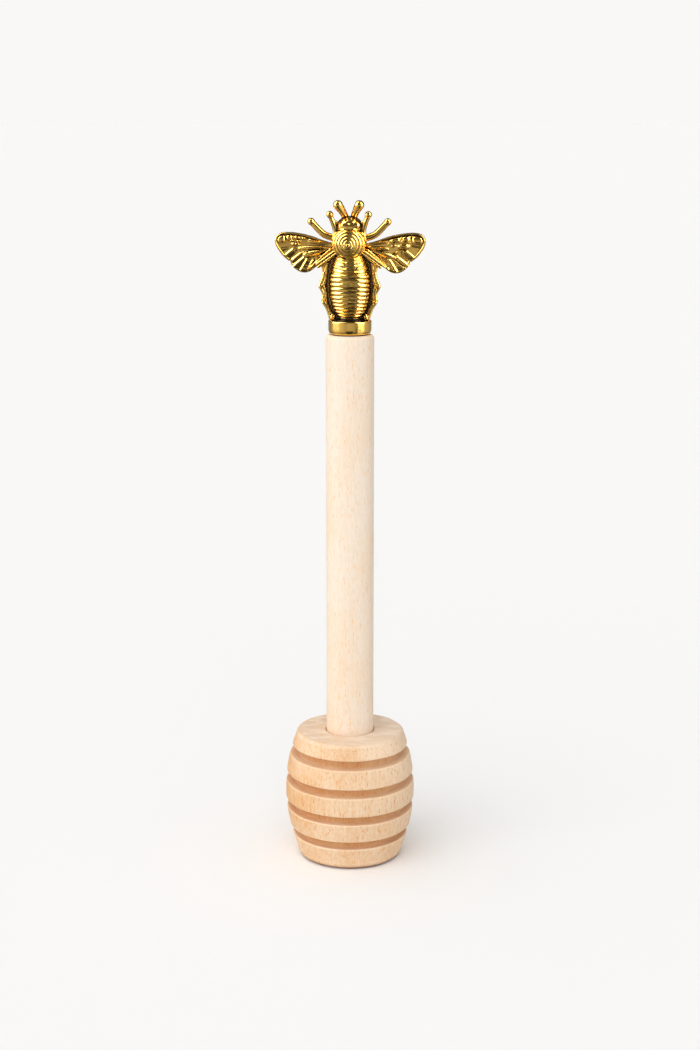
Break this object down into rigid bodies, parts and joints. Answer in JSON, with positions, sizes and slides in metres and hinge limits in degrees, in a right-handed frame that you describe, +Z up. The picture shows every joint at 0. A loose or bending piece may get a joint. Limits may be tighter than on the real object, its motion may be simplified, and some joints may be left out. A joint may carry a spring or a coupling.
{
  "type": "honey dipper",
  "caption": "Wooden honey dipper with a grooved barrel head on a straight dowel handle, topped by a gilt bee on a round collar; it stands on its flat base.",
  "frame": {"origin": "centre of the head's flat base, which is also the bottom centre of the whole dipper", "axes": "+Z up the handle, the bee's face towards -Y, its wings along X"},
  "size_m": [0.037, 0.0328, 0.1675],
  "materials": {
    "head_beech": "bare beech, warm, with orange flecks and darker groove floors",
    "handle_beech": "bare pale beech with short tan flecks along the grain",
    "gilt_metal": "polished antique gold with blackened recesses",
    "stud_steel": "plain zinc-plated steel"
  },
  "bodies": {
    "root": {"dipper_head": "head_beech", "handle": "handle_beech", "finial_stud": "stud_steel", "collar": "gilt_metal", "bee_body": "gilt_metal", "wing_left": "gilt_metal", "wing_right": "gilt_metal"}
  },
  "joints": []
}
